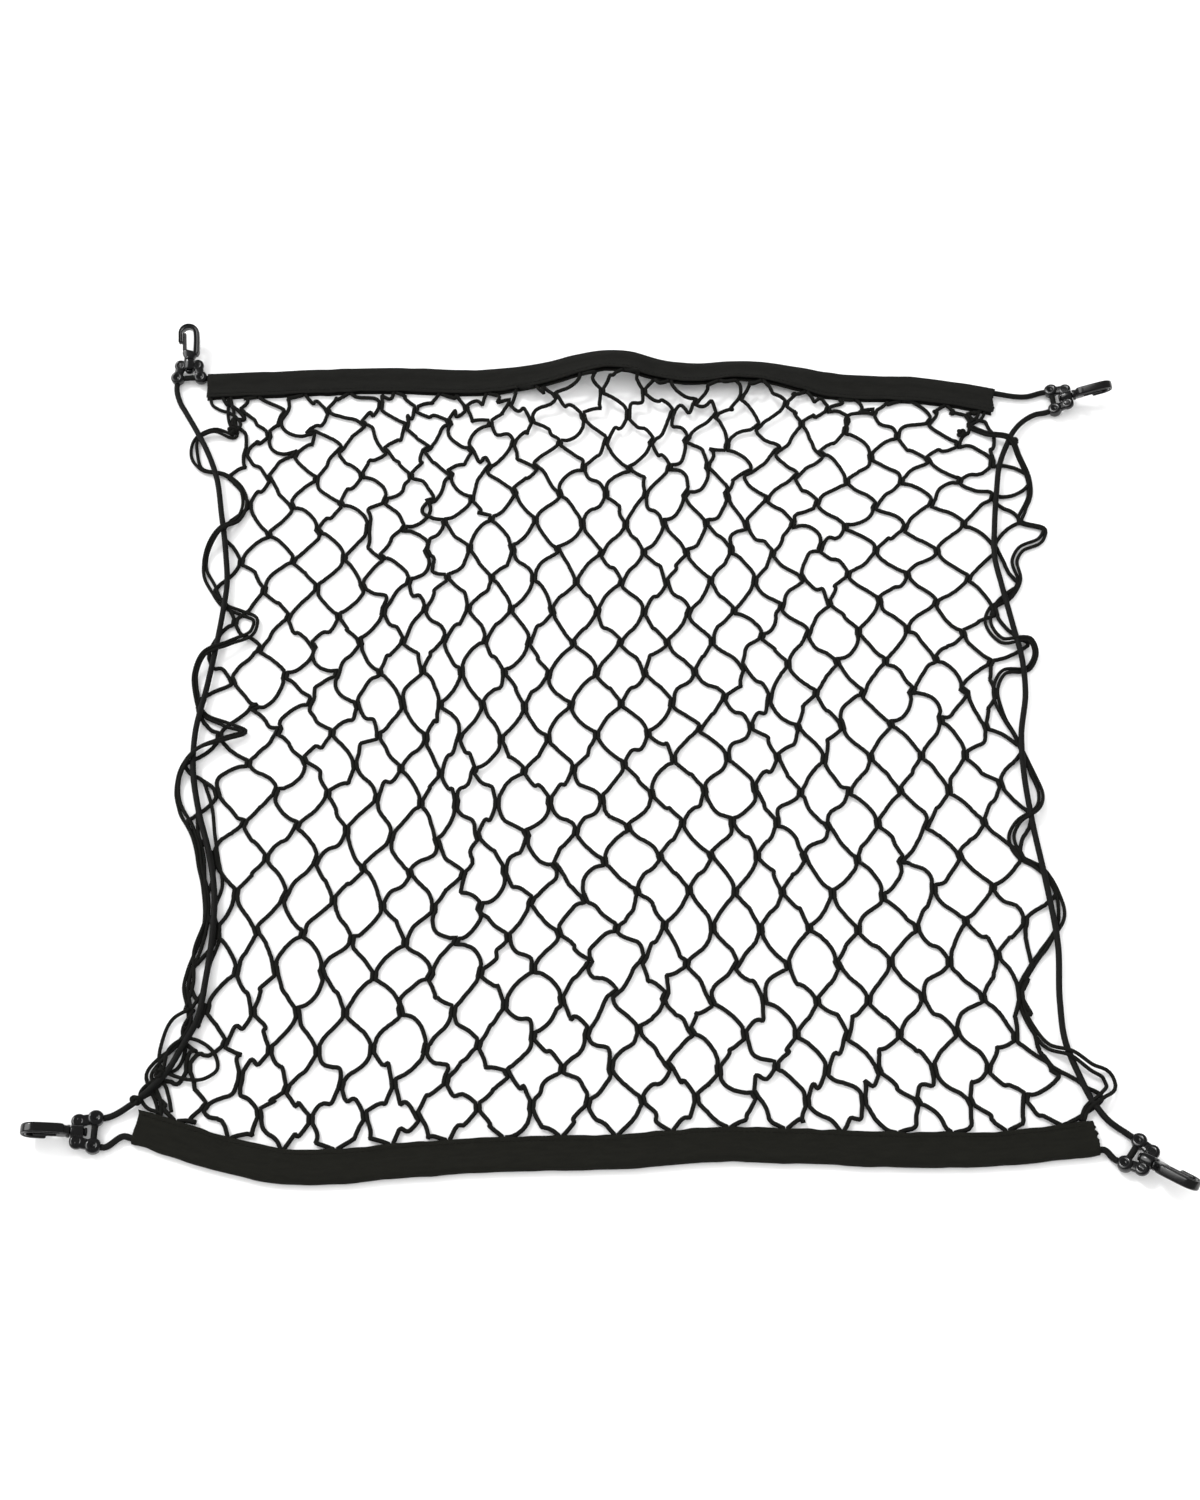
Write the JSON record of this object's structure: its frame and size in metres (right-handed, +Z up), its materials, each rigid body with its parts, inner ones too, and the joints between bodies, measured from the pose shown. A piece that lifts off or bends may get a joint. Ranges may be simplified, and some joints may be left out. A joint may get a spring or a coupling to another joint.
{
  "type": "cargo net",
  "caption": "Black cargo net for a car boot: knotless mesh held in folded tape bands, elastic cord down the sides and a swivel hook with a spring gate at each corner.",
  "frame": {"origin": "middle of the box round the net, bands and hooks, on the surface it lies on", "axes": "+X along the bands to the right, +Y from the bottom band to the arched top band, +Z up"},
  "size_m": [0.8638, 0.7834, 0.0293],
  "materials": {
    "knitted_yarn": "matt knitted polyester cord",
    "woven_tape": "matt close-woven polyester tape",
    "braided_elastic": "slightly glossy braided polyester sheath",
    "moulded_plastic": "smooth moulded acetal with a soft gloss"
  },
  "bodies": {
    "net": {"net": "knitted_yarn", "band_top": "woven_tape", "band_bottom": "woven_tape", "elastic_left": "braided_elastic", "elastic_right": "braided_elastic", "base_top_left": "moulded_plastic", "base_top_right": "moulded_plastic", "base_bottom_left": "moulded_plastic", "base_bottom_right": "moulded_plastic"},
    "hook_top_left": {"hook_top_left": "moulded_plastic"},
    "hook_top_right": {"hook_top_right": "moulded_plastic"},
    "hook_bottom_left": {"hook_bottom_left": "moulded_plastic"},
    "hook_bottom_right": {"hook_bottom_right": "moulded_plastic"},
    "gate_top_left": {"gate_top_left": "moulded_plastic"},
    "gate_top_right": {"gate_top_right": "moulded_plastic"},
    "gate_bottom_left": {"gate_bottom_left": "moulded_plastic"},
    "gate_bottom_right": {"gate_bottom_right": "moulded_plastic"}
  },
  "joints": [
    {"name": "swivel_top_left", "type": "hinge", "parent": "net", "child": "hook_top_left", "pos_m": [-0.3834, 0.3525, 0.00815], "axis": [-0.0506, 0.9646, 0.2588], "continuous": true},
    {"name": "swivel_top_right", "type": "hinge", "parent": "net", "child": "hook_top_right", "pos_m": [0.3935, 0.317, 0.00949], "axis": [0.9374, 0.0655, 0.342], "continuous": true},
    {"name": "swivel_bottom_left", "type": "hinge", "parent": "net", "child": "hook_bottom_left", "pos_m": [-0.3925, -0.345, 0.00731], "axis": [-0.978, -0.0171, 0.2079], "continuous": true},
    {"name": "swivel_bottom_right", "type": "hinge", "parent": "net", "child": "hook_bottom_right", "pos_m": [0.372, -0.3665, 0.00949], "axis": [0.7505, -0.5655, 0.342], "continuous": true},
    {"name": "gate_turn_top_left", "type": "hinge", "parent": "hook_top_left", "child": "gate_top_left", "pos_m": [-0.38816, 0.367, 0.01209], "axis": [-0.0135, 0.2585, -0.9659], "range_deg": [0, 17], "stiffness_Nm_per_rad": 0.02, "springref_deg": -5.73},
    {"name": "gate_turn_top_right", "type": "hinge", "parent": "hook_top_right", "child": "gate_top_right", "pos_m": [0.40896, 0.31958, 0.01122], "axis": [0.1925, -0.916, -0.352], "range_deg": [0, 17], "stiffness_Nm_per_rad": 0.02, "springref_deg": -5.73},
    {"name": "gate_turn_bottom_left", "type": "hinge", "parent": "hook_bottom_left", "child": "gate_bottom_left", "pos_m": [-0.40825, -0.34527, 0.00657], "axis": [-0.0175, 0.9998, 0], "range_deg": [0, 17], "stiffness_Nm_per_rad": 0.02, "springref_deg": -5.73},
    {"name": "gate_turn_bottom_right", "type": "hinge", "parent": "hook_bottom_right", "child": "gate_bottom_right", "pos_m": [0.38572, -0.37397, 0.01162], "axis": [-0.3363, -0.7723, -0.539], "range_deg": [0, 17], "stiffness_Nm_per_rad": 0.02, "springref_deg": -5.73}
  ]
}
